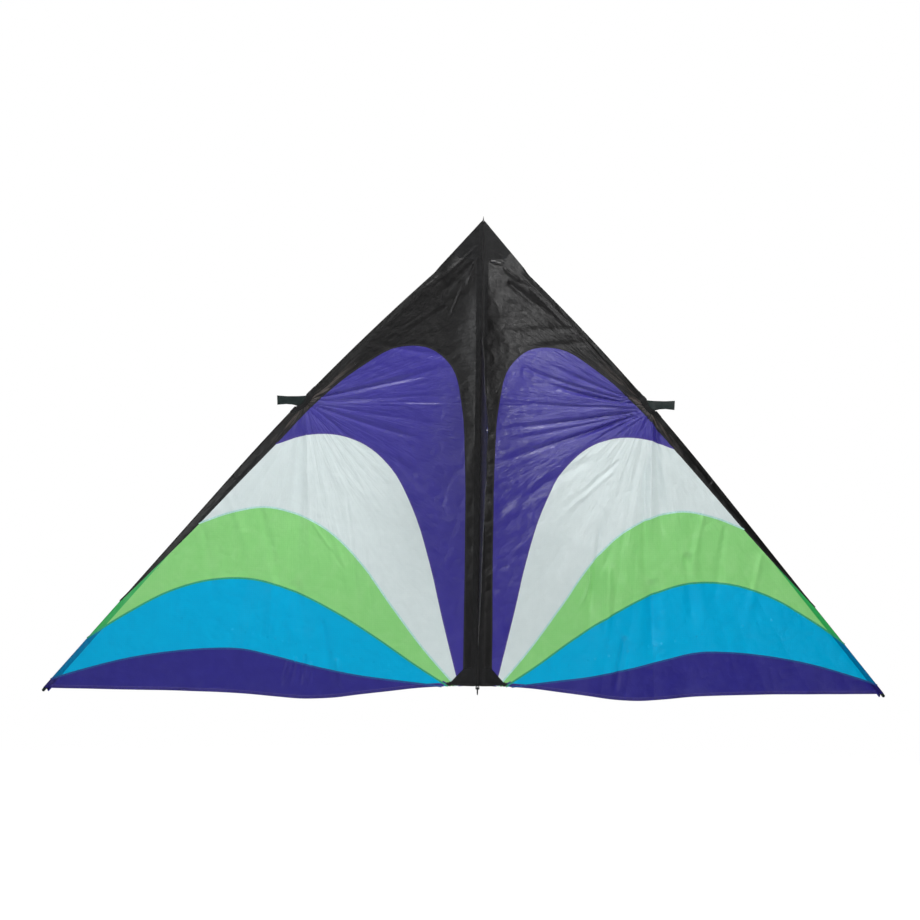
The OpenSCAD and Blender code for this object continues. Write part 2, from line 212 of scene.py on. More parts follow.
class Nodes:
    """Short ways to add shader nodes to one tree."""

    def __init__(self, tree):
        self.tree = tree

    def add(self, kind, inputs=None, **settings):
        node = self.tree.nodes.new(kind)
        for key, value in settings.items():
            setattr(node, key, value)
        for key, value in (inputs or {}).items():
            if isinstance(value, bpy.types.NodeSocket):
                self.tree.links.new(value, node.inputs[key])
            else:
                node.inputs[key].default_value = value
        return node

    def math(self, operation, a, b=0.0):
        return self.add("ShaderNodeMath", {0: a, 1: b}, operation=operation).outputs[0]

    def times(self, a, b):
        return self.math("MULTIPLY", a, b)

    def zigzag(self, value, pitch):
        """Up from 0 to 0.5 and down again, once every pitch."""
        return self.math("PINGPONG", self.math("DIVIDE", value, pitch), 0.5)

    def off(self, value, line):
        return self.math("ABSOLUTE", self.math("SUBTRACT", value, line))

    def ramp(self, value, low, high, to_low=0.0, to_high=1.0):
        """value from low..high to to_low..to_high, smoothly."""
        inputs = {"Value": value, "From Min": low, "From Max": high, "To Min": to_low, "To Max": to_high}
        return self.add("ShaderNodeMapRange", inputs, interpolation_type="SMOOTHSTEP").outputs["Result"]

    def attribute(self, name, output="Fac"):
        return self.add("ShaderNodeAttribute", attribute_name=name).outputs[output]

    def parts(self, vector):
        return self.add("ShaderNodeSeparateXYZ", {0: vector}).outputs

    def noise(self, vector, scale, detail=4.0, roughness=0.55, distortion=0.0):
        inputs = {"Vector": vector, "Scale": scale, "Detail": detail, "Roughness": roughness}
        inputs["Distortion"] = distortion
        return self.add("ShaderNodeTexNoise", inputs).outputs["Fac"]

    def mix(self, amount, a, b):
        return self.add("ShaderNodeMix", {0: amount, 6: a, 7: b}, data_type="RGBA").outputs[2]

    def bump(self, height, distance, normal=None, strength=1.0):
        inputs = {"Height": height, "Distance": distance, "Strength": strength}
        if normal is not None:
            inputs["Normal"] = normal
        return self.add("ShaderNodeBump", inputs).outputs["Normal"]


def linear(colour):
    """A colour given as 0 to 255, in the scene's linear values."""
    return tuple(x / 3294.6 if x <= 10 else ((x / 255 + 0.055) / 1.055) ** 2.4 for x in colour) + (1.0,)


def lighter(colour, gain, lift):
    return tuple(min(255, x * gain + lift) for x in colour)


def start_material(name, **sockets):
    made = bpy.data.materials.new(name)
    made.use_nodes = True
    nodes = Nodes(made.node_tree)
    shader = made.node_tree.nodes["Principled BSDF"]
    for key, value in sockets.items():
        shader.inputs[key.replace("_", " ")].default_value = value
    return made, nodes, shader


def join(nodes, shader, **sockets):
    for key, value in sockets.items():
        nodes.tree.links.new(value, shader.inputs[key.replace("_", " ")])


RIPSTOP_PITCH = 5 * MM
STITCH_PITCH = 3.2 * MM
TAPE_STITCH_PITCH = 3.4 * MM
TWILL_PITCH = 1.1 * MM
SLEEVE_WIDTH = 15 * MM
HEM_WIDTH = 9 * MM


def ripstop(name, colour, doubled, lighter_tone, roughness=0.34, sheen=0.02, specular=0.4, crease_highlight=None):
    """Woven ripstop: a grid of thicker threads, fine crinkles, and creases round a connector, with a
    painted highlight along those creases.
    """
    made, nodes, shader = start_material(
        name, Sheen_Weight=sheen, Sheen_Roughness=0.35, Specular_IOR_Level=specular
    )
    flat = nodes.attribute("flat", "Vector")
    part = nodes.parts(flat)
    threads = [nodes.ramp(nodes.zigzag(part[k], RIPSTOP_PITCH), 0.43, 0.49) for k in (0, 1)]
    grid = nodes.math("MAXIMUM", *threads)
    crumple = nodes.noise(flat, 26, 5, 0.62, 0.6)
    fine = nodes.noise(flat, 120, 3, 0.6, 0.9)
    fan = nodes.attribute("fan", "Vector")
    streaks = nodes.noise(fan, 1.0, 5, 0.6, 0.3)
    # Mask of the painted highlight: the streaked creases close to the connector.
    near = nodes.times(nodes.ramp(nodes.parts(fan)[1], 0.3, 1.3, 1, 0), nodes.ramp(streaks, 0.47, 0.58))
    edge = 0.4 * MM
    sleeve = nodes.ramp(nodes.attribute("inset"), SLEEVE_WIDTH - edge, SLEEVE_WIDTH + edge, 1, 0)
    base = nodes.mix(nodes.ramp(crumple, 0.35, 0.75, 0.0, 0.55), linear(colour), linear(lighter_tone))
    # Painted highlight: the crease colour, or the lighter tone where none is given, laid along the creases
    # near the connector.
    base = nodes.mix(nodes.times(near, 0.8), base, linear(crease_highlight or lighter_tone))
    base = nodes.mix(nodes.times(grid, 0.16), base, linear(doubled))
    base = nodes.mix(nodes.times(sleeve, 0.9), base, linear(doubled))
    rough = nodes.ramp(fine, 0.3, 0.7, roughness - 0.05, roughness + 0.07)
    normal = nodes.bump(crumple, 1.6 * MM, strength=0.6)
    normal = nodes.bump(nodes.times(streaks, nodes.attribute("fan_strength")), 7 * MM, normal, 0.9)
    normal = nodes.bump(fine, 0.16 * MM, normal, 0.6)
    normal = nodes.bump(grid, 0.08 * MM, normal, 0.5)
    join(nodes, shader, Base_Color=base, Roughness=rough, Normal=normal)
    return made


def stitched(name, colour, thread, rows=(-0.5, 0.5)):
    """A sewn strip. Its attribute strip holds metres along it and the share of its half width across it."""
    made, nodes, shader = start_material(
        name, Sheen_Weight=0.15, Sheen_Roughness=0.4, Specular_IOR_Level=0.4
    )
    part = nodes.parts(nodes.attribute("strip", "Vector"))
    row = 0.0
    for place in rows:
        row = nodes.math("MAXIMUM", row, nodes.ramp(nodes.off(part[1], place), 0.07, 0.13, 1, 0))
    stitch = nodes.times(row, nodes.ramp(nodes.zigzag(part[0], STITCH_PITCH), 0.1, 0.18))
    pucker = nodes.noise(nodes.attribute("flat", "Vector"), 190, 3, 0.6)
    lighter_tone = lighter(colour, 1.25, 8)
    base = nodes.mix(nodes.ramp(pucker, 0.4, 0.8, 0, 0.6), linear(colour), linear(lighter_tone))
    base = nodes.mix(nodes.times(stitch, 0.85), base, linear(thread))
    normal = nodes.bump(pucker, 0.5 * MM, strength=0.6)
    normal = nodes.bump(stitch, 0.25 * MM, normal, 0.8)
    join(nodes, shader, Base_Color=base, Roughness=nodes.ramp(pucker, 0.3, 0.7, 0.45, 0.6), Normal=normal)
    return made


def tape(name, colour, thread):
    """Stiff woven tape with a diagonal twill, and a row of stitches 3 mm inside its border."""
    made, nodes, shader = start_material(
        name, Sheen_Weight=0.02, Sheen_Roughness=0.5, Specular_IOR_Level=0.22
    )
    flat = nodes.attribute("flat", "Vector")
    part = nodes.parts(flat)
    diagonal = nodes.math("ADD", part[0], part[1])
    twill = nodes.ramp(nodes.zigzag(diagonal, TWILL_PITCH), 0.1, 0.4)
    row = nodes.ramp(nodes.off(nodes.attribute("border"), 3 * MM), 0.35 * MM, 0.6 * MM, 1, 0)
    stitch = nodes.times(row, nodes.ramp(nodes.zigzag(diagonal, TAPE_STITCH_PITCH), 0.1, 0.18))
    blotch = nodes.noise(flat, 60, 4, 0.6)
    lighter_tone = lighter(colour, 1.5, 12)
    base = nodes.mix(nodes.ramp(blotch, 0.4, 0.75, 0, 0.7), linear(colour), linear(lighter_tone))
    base = nodes.mix(nodes.times(twill, 0.18), base, linear(thread))
    base = nodes.mix(nodes.times(stitch, 0.8), base, linear(thread))
    normal = nodes.bump(blotch, 1.6 * MM, strength=0.8)
    normal = nodes.bump(twill, 0.12 * MM, normal, 0.6)
    normal = nodes.bump(stitch, 0.25 * MM, normal, 0.8)
    join(nodes, shader, Base_Color=base, Roughness=nodes.ramp(blotch, 0.3, 0.7, 0.36, 0.5), Normal=normal)
    return made


def streaked(name, colour, lighter_tone, grain, roughness, bump=0.05 * MM, **sockets):
    """A hard material with fine drawn or moulded marks. grain is how many there are on each axis."""
    made, nodes, shader = start_material(name, **sockets)
    place = nodes.add("ShaderNodeTexCoord").outputs["Object"]
    stretched = nodes.add("ShaderNodeMapping", {"Vector": place, "Scale": grain}).outputs[0]
    marks = nodes.noise(stretched, 1.0, 4, 0.6)
    blotch = nodes.noise(place, 90, 3, 0.5)
    both = nodes.math("ADD", nodes.times(marks, 0.6), nodes.times(blotch, 0.4))
    base = nodes.mix(nodes.ramp(marks, 0.35, 0.75), linear(colour), linear(lighter_tone))
    rough = nodes.ramp(both, 0.3, 0.75, *roughness)
    normal = nodes.bump(marks, bump, strength=0.5)
    join(nodes, shader, Base_Color=base, Roughness=rough, Normal=normal)
    return made


CLOTHS = {
    name: ripstop(name, *looks)
    for name, looks in {
        # The last colour of black_ripstop is a painted highlight along its creases near a connector.
        "black_ripstop": ((9, 8, 9), (6, 6, 6), (16, 14, 15), 0.35, 0, 0.4, (92, 83, 78)),
        "purple_ripstop": ((50, 42, 142), (38, 30, 112), (60, 52, 152), 0.34, 0.01, 0.62),
        "white_ripstop": ((216, 228, 228), (196, 208, 208), (224, 235, 235)),
        "green_ripstop": ((140, 213, 126), (20, 168, 82), (154, 218, 138)),
        "blue_ripstop": ((0, 170, 220), (0, 108, 158), (0, 178, 226), 0.34, 0, 0.14),
        "violet_ripstop": ((42, 37, 130), (32, 26, 100), (50, 46, 140), 0.34, 0),
        "keel_cloth": ((26, 24, 34), (20, 19, 27), (34, 32, 44), 0.4),
    }.items()
}
SEAM_CLOTHS = {
    name: stitched("seam_" + name, *colours)
    for name, colours in {
        "black": ((20, 19, 20), (44, 44, 46)),
        "purple": ((66, 54, 134), (96, 88, 176)),
        "white": ((168, 216, 208), (214, 236, 232)),
        "green": ((28, 150, 108), (96, 196, 150)),
        "blue": ((18, 62, 130), (60, 110, 180)),
    }.items()
}
HEM_CLOTHS = {
    "black": stitched("hem_black", (18, 17, 18), (44, 44, 46), rows=(0.72,)),
    "violet": stitched("hem_violet", (44, 36, 116), (84, 74, 160), rows=(0.72,)),
}
BLACK_TAPE = tape("black_tape", (12, 12, 13), (36, 36, 38))
CORD = tape("cord", (20, 20, 21), (70, 70, 72))
FIBREGLASS = streaked(
    "fibreglass", (24, 24, 26), (46, 46, 49), (900, 900, 14), (0.24, 0.42),
    Coat_Weight=0.25, Coat_Roughness=0.2,
)
VINYL = streaked(
    "vinyl", (9, 24, 23), (22, 38, 36), (70, 70, 70), (0.38, 0.6), 0.2 * MM, Specular_IOR_Level=0.3
)
BRASS = streaked("brass", (176, 138, 66), (206, 172, 98), (60, 60, 500), (0.2, 0.38), Metallic=1.0)
NICKEL = streaked("nickel", (188, 189, 192), (214, 214, 216), (200, 200, 200), (0.12, 0.28), Metallic=1.0)


# ---- The shape of the sail

# Folds are shallow grooves (depth below 0) and ridges in a wing, each from one (u, v) to another:
# (start u, start v, end u, end v, start width, end width, depth, curl), all in millimetres.

LEFT_FOLDS = [
    (432, 699, 40, 798, 2.5, 9, -2.6, 7), (432, 697, 50, 776, 1.8, 6, -1.7, 0),
    (428, 694, 60, 718, 1.8, 7, -1.3, 4), (424, 684, 120, 592, 2.4, 10.5, -3, 4),
    (424, 688, 60, 634, 2, 8, -1, 3), (430, 680, 330, 602, 2.2, 6, -1.8, -3),
    (430, 682, 250, 600, 1.6, 6, -0.9, -3), (436, 672, 372, 612, 1.5, 4, -0.9, 0),
    (441, 672, 428, 200, 3, 9, 1.9, 0), (452, 660, 470, 120, 4, 24, -3.2, 0),
    (458, 664, 484, 370, 2.5, 9, 1.6, 0), (340, 470, 300, 150, 3.5, 5, -1.4, 0),
    (290, 330, 262, 120, 3.5, 5, -1.2, 0), (380, 330, 330, 260, 3.5, 5, -1.1, 0),
    (430, 400, 350, 290, 3.5, 5, 1.2, 0), (470, 250, 440, 80, 14, 24, -3.4, 0),
    (520, 260, 530, 60, 12, 22, 2.6, 0), (400, 160, 372, -20, 8, 14, -2.6, 0),
    (360, 60, 330, -30, 6, 10, 2.2, 4), (466, 656, 500, 540, 2.5, 7, -1.2, 0),
    (440, 704, 300, 842, 1.8, 4, -1.5, 2), (437, 707, 322, 800, 1.6, 3.5, 1.2, 0),
    (432, 702, 250, 838, 1.6, 4, -1.1, 0), (470, 668, 590, 545, 2.2, 5, -1.5, -2),
    (466, 662, 570, 548, 1.8, 4, 1.2, 0), (300, 842, 40, 800, 4, 9, -1.8, 3),
    (220, 560, 60, 400, 7, 16, -1.6, 4), (240, 520, 140, 260, 8, 16, 1.2, 0),
    (640, 470, 560, 250, 7, 15, 1.1, 0), (560, 440, 500, 220, 7, 16, -1.4, 0),
    (370, 360, 300, 160, 7, 16, 1.2, 0), (700, 380, 660, 130, 7, 14, -1.2, 0),
    (425, 50, 430, -20, 3, 6, 1.8, 0), (440, 70, 452, -20, 3, 6, -2.4, 0),
    (462, 60, 480, -25, 3, 7, 2.6, 0), (484, 50, 504, -20, 3, 6, -2, 0),
    (12, 1078, 112, 985, 2.4, 6, 2.4, 0), (9, 1050, 44, 965, 2.6, 7, 2.2, 2),
    (48, 985, 92, 880, 2, 4, 1.4, 0), (20, 1040, 130, 930, 5, 12, -2.2, 0),
    (90, 930, 210, 850, 4, 9, -1.6, 0),
]
RIGHT_FOLDS = [
    (434, 693, 150, 752, 2.4, 7, -2.8, 7), (434, 698, 90, 790, 2, 6.5, -2.2, 8),
    (430, 702, 170, 796, 1.8, 6, -1.3, 6), (430, 681, 20, 626, 2.2, 8.5, -2.4, 5),
    (426, 672, 20, 540, 2.6, 10, -3, 4), (426, 676, 30, 592, 1.6, 7, -1.1, 3),
    (420, 684, 20, 696, 1.6, 6, -1, 0), (426, 667, 300, 600, 1.8, 5, -1.5, -2),
    (434, 664, 350, 606, 1.6, 4, -1, 0), (300, 560, 30, 424, 9, 20, -1.7, 6),
    (180, 520, 30, 380, 7, 14, 0.6, 0), (446, 668, 424, 610, 2, 5, -1.4, 0),
    (456, 668, 460, 250, 2.6, 10, 2.4, 0), (468, 660, 500, 300, 4, 20, -3, 0),
    (446, 560, 452, 180, 6, 18, -2.2, 0), (330, 400, 300, 110, 6, 12, -2, 0),
    (300, 290, 262, 180, 3.5, 5, 1.6, 14), (350, 300, 346, 60, 10, 18, 2.6, 0),
    (470, 260, 480, 60, 14, 26, -3, 0), (400, 120, 372, -30, 8, 14, -2.4, 0),
    (560, 330, 590, 120, 10, 20, -2.6, 0), (440, 640, 400, 420, 4, 12, -1.2, 0),
    (474, 664, 540, 560, 2.4, 6, -1.6, 0), (442, 702, 296, 842, 1.8, 4, -1.6, 2),
    (446, 707, 330, 812, 1.6, 3.5, 1.3, 0), (430, 704, 270, 830, 1.6, 4, -1, 0),
    (470, 668, 600, 536, 2, 5, -1.8, -2), (462, 664, 560, 555, 1.8, 4, 1.3, 0),
    (330, 850, 60, 812, 5, 11, -1.2, -6), (290, 880, 40, 860, 5, 11, -0.8, -5),
    (380, 560, 230, 430, 4, 9, -1, 0), (360, 530, 200, 400, 4, 8, 0.9, 0),
    (600, 430, 560, 200, 7, 15, 1.2, 0), (660, 400, 640, 180, 7, 15, -1.2, 0),
    (360, 340, 280, 140, 7, 16, -1.2, 0), (760, 330, 720, 110, 7, 14, 1, 0),
    (40, 1056, 84, 1030, 2.4, 5, 2.6, 0), (54, 1024, 112, 990, 2.6, 5, 2.4, -4),
    (16, 1040, 60, 1030, 2.6, 4, 1.8, 0), (66, 990, 190, 905, 6, 12, -2.6, 0),
    (120, 980, 250, 860, 2.5, 6, 1.6, 0),
]
FOLDS = {"left": LEFT_FOLDS, "right": RIGHT_FOLDS}
BILLOW = 0.026
FOLD_GAIN = {"left": 1.3, "right": 2.6}
NOSE_FOLD_GAIN = 1.1
CRUMPLE_GAIN = {"left": 0.7, "right": 0.9}
NOISE_SEEDS = {"left": 11, "right": 47}
CLOTH_T = 0.4 * MM
NOISE_CELLS = 96


def smooth(x, low, high):
    t = np.clip((x - low) / (high - low), 0, 1)
    return t * t * (3 - 2 * t)


def value_noise(u, v, cell, seed):
    """Smooth seeded noise from -1 to 1 with one value at each corner of a square grid."""
    corners = np.random.default_rng(seed).uniform(-1, 1, (NOISE_CELLS + 1, NOISE_CELLS + 1))
    x, y = u / cell, v / cell
    i, j = np.floor(x).astype(int), np.floor(y).astype(int)
    fx, fy = smooth(x - i, 0, 1), smooth(y - j, 0, 1)
    i, j = i % NOISE_CELLS, j % NOISE_CELLS
    low = corners[i, j] * (1 - fx) + corners[i + 1, j] * fx
    high = corners[i, j + 1] * (1 - fx) + corners[i + 1, j + 1] * fx
    return low * (1 - fy) + high * fy


def fold_shape(u, v, fold):
    """One fold: a rounded groove or ridge that fades in at its start and out towards its end."""
    u0, v0, u1, v1, w0, w1, depth, curl = [x * MM for x in fold]
    along = np.array([u1 - u0, v1 - v0])
    length = np.hypot(*along)
    along /= length
    t = ((u - u0) * along[0] + (v - v0) * along[1]) / length
    inside = np.clip(t, 0, 1)
    off = -(u - u0) * along[1] + (v - v0) * along[0] - curl * 4 * inside * (1 - inside)
    width = w0 + (w1 - w0) * inside
    fade = smooth(t, -0.02, 0.1) * (1 - smooth(t, 0.55, 1.0))
    return depth * fade * np.exp(-((off / width) ** 2))


def around_connector(u, v):
    """Distance from the connector, and the angle there in degrees: 0 is level inboard, and -90 is down."""
    at = edge_point(CONNECTOR_S, 12 * MM)
    du, dv = u - at[0], v - at[1]
    return np.hypot(du, dv), np.degrees(np.arctan2(dv, -du))


def pleats(side, u, v):
    """Soft pleats that run out from the connector, in millimetres. They are widest below it."""
    away, angle = around_connector(u, v)

    def rays(length, width, seed):
        return value_noise(angle, away * length, width, NOISE_SEEDS[side] + seed)

    down = np.exp(-(((angle + 92) / 40) ** 2)) * smooth(away, 0.03, 0.25)
    drape = 1.5 * rays(12, 9, 20) + 1.0 * rays(9, 4, 21) + 1.3 * np.abs(rays(8, 6, 24))
    inward = smooth(away, 0.02, 0.08) * np.exp(-((away / 0.3) ** 2)) * np.exp(-((angle / 62) ** 4))
    fan = 0.6 * rays(12, 5, 22) + 0.4 * rays(14, 2.4, 23)
    return down * drape + inward * fan


def sleeve_drop(inset):
    """How far the cloth sinks where it passes over the leading edge rod, which is behind the sail."""
    across = SLEEVE_R - np.clip(inset, 0, SLEEVE_R)
    round_part = -ROD_BACK + np.sqrt(np.maximum(SLEEVE_R**2 - across**2, 0))
    flat_part = (SLEEVE_R - ROD_BACK) * (1 - smooth(inset, SLEEVE_R * 0.9, SLEEVE_WIDTH + 2 * MM))
    return np.where(inset < SLEEVE_R, round_part, flat_part)


SPREADER_LEAN = math.tan(math.radians(12.2))
SPREADER_SLOPE = 0.022
SPREADER_R = 3 * MM
SOCKET_WALL = 2.5 * MM
SPREADER_CLEARANCE = 2.6 * MM


def spreader_limit(u, v):
    """The furthest back that the cloth may go, where the spreader swings nearest to it."""
    inward = np.maximum(-((np.stack([u, v], axis=-1) - CONNECTOR[:2]) @ LE_OUT), 0)
    beside = np.abs(v - CONNECTOR[1] - SPREADER_SLOPE * (CONNECTOR[0] - u))
    in_socket = 1 - smooth(CONNECTOR[0] - u, 42 * MM, 60 * MM)
    front = -ROD_BACK + SPREADER_R + SOCKET_WALL * in_socket
    slack = 0.06 * smooth(beside, 12 * MM, 60 * MM) + 0.2 * smooth(u - CONNECTOR[0], 0, 20 * MM)
    return front + SPREADER_CLEARANCE - inward * SPREADER_LEAN - slack


def billow(u, v, inset):
    """How far the wind-filled cloth stands back between its edges."""
    inner = np.maximum(inset - SLEEVE_WIDTH, 0)
    outer = np.maximum(u - 6 * MM, 0)
    hollow = 4 * inner * outer / np.maximum((inner + outer) ** 2, 1e-9)
    height = np.clip(v / 1.1, 0, 1)
    return -BILLOW * hollow * (1 - height) ** 0.4 * smooth(outer + inner, 0.02, 0.2)


def crumples(side, u, v):
    """Small irregular bumps all over the cloth, in millimetres."""
    seed = NOISE_SEEDS[side]
    made = 1.2 * value_noise(u, v * 0.7, 0.075, seed) + 0.7 * value_noise(u, v, 0.034, seed + 1)
    made += 0.8 * np.abs(value_noise(u + 0.3 * v, v - 0.2 * u, 0.024, seed + 2))
    return made + 0.25 * value_noise(u, v, 0.013, seed + 3)


def tail_ripple(side, u, v):
    """Waves in the free tail edge, in millimetres."""
    wander = value_noise(u, v * 0, 0.12, NOISE_SEEDS[side] + 4)
    wave = 2.6 * np.sin(u / 0.034 + 2.0 * wander) * np.exp(-np.maximum(v - tail_height(u), 0) / 0.045)
    return wave * (smooth(u, 0.06, 0.2) * (1 - smooth(u, 0.92, 1.08)))


def rod_cover(side, s, inset):
    """The cloth where it passes over the leading edge rod, with its small wrinkles."""
    seed = NOISE_SEEDS[side]
    wrinkle = 0.45 * value_noise(s, inset * 1.5, 0.016, seed + 5)
    wrinkle += 0.3 * value_noise(s, inset * 2, 0.007, seed + 6)
    wrinkle *= smooth(inset, 1.5 * MM, 5 * MM) * (1 - smooth(inset, 12 * MM, 20 * MM))
    rod_here = smooth(s, LE_TOP_S - 25 * MM, LE_TOP_S + 5 * MM)
    rod_here = rod_here * smooth(np.abs(s - CONNECTOR_S), SLEEVE_GAP - 8 * MM, SLEEVE_GAP + 4 * MM)
    return rod_here * (sleeve_drop(np.maximum(inset, 0)) + wrinkle * MM)


def relief(side, u, v):
    """How far a wing's cloth stands out of its flat plane, towards the keel's side."""
    s, inset = edge_place(u, v)
    gain = FOLD_GAIN[side] + (NOSE_FOLD_GAIN - FOLD_GAIN[side]) * smooth(v, 0.72, 0.86)
    folds = sum(fold_shape(u, v, fold) for fold in FOLDS[side]) + pleats(side, u, v) * MM
    loose = CRUMPLE_GAIN[side] * crumples(side, u, v) + tail_ripple(side, u, v)
    free = smooth(inset, 9 * MM, 26 * MM) * smooth(u, 7 * MM, 22 * MM)
    free *= 1 - 0.6 * smooth(v, 1.03, 1.07)
    n = billow(u, v, inset) + (gain * folds + loose * MM) * free + rod_cover(side, s, inset)
    clear = smooth(inset, 10 * MM, 20 * MM)
    return n + clear * np.maximum(spreader_limit(u, v) - n, 0)


# ---- Flat meshes cut to the CAD panels' outlines


def outline_loops(points, triangles):
    """The boundary loops of some flat triangles, as (x, y) points in order."""
    keys, which = np.unique(np.round(points / 1e-5).astype(np.int64), axis=0, return_inverse=True)
    tris = which.reshape(-1)[triangles]
    directed = {(int(t[k]), int(t[(k + 1) % 3])) for t in tris for k in range(3)}
    following = {a: b for a, b in directed if (b, a) not in directed}
    loops = []
    while following:
        start = next(iter(following))
        loop = [start]
        while following.get(loop[-1], start) != start:
            loop.append(following[loop[-1]])
        for a in loop:
            following.pop(a, None)
        loops.append(keys[loop] * 1e-5)
    return loops


def front_loops(node, place, facing):
    """Loops of the faces of a flat CAD node that face one way. place maps the row frame to (x, y, out)."""
    mesh = frame["nodes"][node].data
    mesh.calc_loop_triangles()
    tris = np.array([t.vertices for t in mesh.loop_triangles])
    flat = place(node_points(node))
    a, b, c = (flat[tris[:, k]] for k in range(3))
    normal = np.cross(b - a, c - a)
    size = np.linalg.norm(normal, axis=1)
    keep = (size > 1e-12) & (normal[:, 2] * facing > 0.9 * size)
    return outline_loops(flat[:, :2], tris[keep])


def divided(loop, step):
    """A closed loop with points added so that none are more than step apart."""
    out = []
    for a, b in zip(loop, np.roll(loop, -1, axis=0)):
        n = max(1, math.ceil(np.linalg.norm(b - a) / step - 1e-6))
        out += [a + (b - a) * k / n for k in range(n)]
    return np.array(out)


def inside(points, loops):
    """Whether each point is inside the loops, by the even-odd rule."""
    hits = np.zeros(len(points), int)
    for loop in loops:
        for a, b in zip(loop, np.roll(loop, -1, axis=0)):
            if a[1] == b[1]:
                continue
            crosses = (a[1] > points[:, 1]) != (b[1] > points[:, 1])
            x = a[0] + (points[:, 1] - a[1]) * (b[0] - a[0]) / (b[1] - a[1])
            hits += crosses & (points[:, 0] < x)
    return hits % 2 == 1


def nearest_gap(points, others):
    gap = np.full(len(points), np.inf)
    for start in range(0, len(others), 200):
        d = points[:, None] - others[None, start : start + 200]
        gap = np.minimum(gap, np.sqrt((d**2).sum(2)).min(1))
    return gap


def lattice(low, high, step):
    rows = np.arange(low[1] - step, high[1] + step, step * math.sqrt(3) / 2)
    columns = np.arange(low[0] - step, high[0] + step, step)
    x, y = np.meshgrid(columns, rows)
    x = x + (np.arange(len(rows)) % 2)[:, None] * step / 2
    return np.stack([x.ravel(), y.ravel()], axis=1)


def filled(loops, step, extra=None, keep=None):
    """Points and triangles that fill the loops at about the given spacing. extra are more inner points, and
    keep says which lattice points may stay."""
    fine = [divided(loop, step) for loop in loops]
    border = np.concatenate(fine)
    inner = lattice(border.min(0), border.max(0), step)
    if keep is not None:
        inner = inner[keep(inner)]
    inner = inner[inside(inner, loops)]
    inner = inner[nearest_gap(inner, border) > 0.55 * step]
    if extra is not None and len(extra):
        more = extra[inside(extra, loops)]
        more = more[nearest_gap(more, border) > 0.4 * MM]
        inner = np.concatenate([inner, more])
    points = np.concatenate([border, inner])
    edges = []
    at = 0
    for loop in fine:
        edges += [(at + k, at + (k + 1) % len(loop)) for k in range(len(loop))]
        at += len(loop)
    made = geometry.delaunay_2d_cdt([Vector(p) for p in points], edges, [], 0, 1e-7)
    flat = np.array([tuple(p) for p in made[0]])
    tris = np.array([tuple(t) for t in made[2]])
    a, b, c = (flat[tris[:, k]] for k in range(3))
    area = ((b - a)[:, 0] * (c - a)[:, 1] - (b - a)[:, 1] * (c - a)[:, 0]) / 2
    good = inside((a + b + c) / 3, fine) & (np.abs(area) > 1e-12)
    tris = np.where((area < 0)[:, None], tris[:, ::-1], tris)[good]
    return flat, tris


def smallest_box(points):
    """Width and length of the smallest rectangle, at any angle, that holds the points."""
    best = None
    for a in np.radians(np.arange(0, 90, 1.0)):
        turned = points @ np.array([[math.cos(a), -math.sin(a)], [math.sin(a), math.cos(a)]])
        size = np.sort(turned.max(0) - turned.min(0))
        if best is None or size.prod() < best.prod():
            best = size
    return best


# ---- Meshes


def new_mesh(name, points, triangles, material, normals=None):
    mesh = bpy.data.meshes.new(name)
    mesh.materials.append(material)
    mesh.vertices.add(len(points))
    mesh.vertices.foreach_set("co", np.asarray(points, np.float32).ravel())
    mesh.loops.add(len(triangles) * 3)
    mesh.loops.foreach_set("vertex_index", np.asarray(triangles, np.int32).ravel())
    mesh.polygons.add(len(triangles))
    mesh.polygons.foreach_set("loop_start", np.arange(len(triangles), dtype=np.int32) * 3)
    mesh.update(calc_edges=True)
    mesh.polygons.foreach_set("use_smooth", np.ones(len(triangles), bool))
    if normals is not None:
        mesh.normals_split_custom_set(normals.reshape(-1, 3).tolist())
    obj = bpy.data.objects.new(name, mesh)
    bpy.context.collection.objects.link(obj)
    return obj


def open_rim(triangles):
    """The directed edges that only one triangle has, as an array of point pairs."""
    edges = [(int(t[k]), int(t[(k + 1) % 3])) for t in triangles for k in range(3)]
    directed = set(edges)
    return np.array([(a, b) for a, b in edges if (b, a) not in directed])


def shell(name, front, back, triangles, material, normals):
    """A closed thin solid between two copies of an open surface. normals point out of its front."""
    count = len(front)
    a, b = open_rim(triangles).T
    faces = np.concatenate([
        triangles,
        triangles[:, ::-1] + count,
        np.stack([b, a, a + count], axis=1),
        np.stack([b, a + count, b + count], axis=1),
    ])
    points = np.concatenate([front, back])
    p, q, r = (points[faces[2 * len(triangles):, k]] for k in range(3))
    flat = np.cross(q - p, r - p)
    flat /= np.maximum(np.linalg.norm(flat, axis=1, keepdims=True), 1e-12)
    corners = [normals[triangles], -normals[triangles[:, ::-1]], np.repeat(flat[:, None], 3, axis=1)]
    return new_mesh(name, points, faces, material, np.concatenate(corners))


def surface_normals(points, triangles):
    a, b, c = (points[triangles[:, k]] for k in range(3))
    face = np.cross(b - a, c - a)
    total = np.zeros_like(points)
    for k in range(3):
        np.add.at(total, triangles[:, k], face)
    return total / np.maximum(np.linalg.norm(total, axis=1, keepdims=True), 1e-12)


def add_attribute(obj, name, values):
    values = np.asarray(values, np.float32)
    kind = "FLOAT_VECTOR" if values.ndim == 2 else "FLOAT"
    data = obj.data.attributes.new(name, kind, "POINT").data
    data.foreach_set("vector" if values.ndim == 2 else "value", values.ravel())


def add_attributes(obj, **one_face):
    """Attributes of a shell, whose front and back have the same values."""
    for name, values in one_face.items():
        add_attribute(obj, name, np.concatenate([values, values]))


def flat_place(x, y):
    return np.stack([x, y, np.zeros_like(x)], axis=1)


def declare_cut(obj, loops, **rests_on):
    """Works out the flat size of a sheet's cut, and keeps nothing."""
    size = tuple(smallest_box(np.concatenate(loops)))


FAN_REACH = 0.5


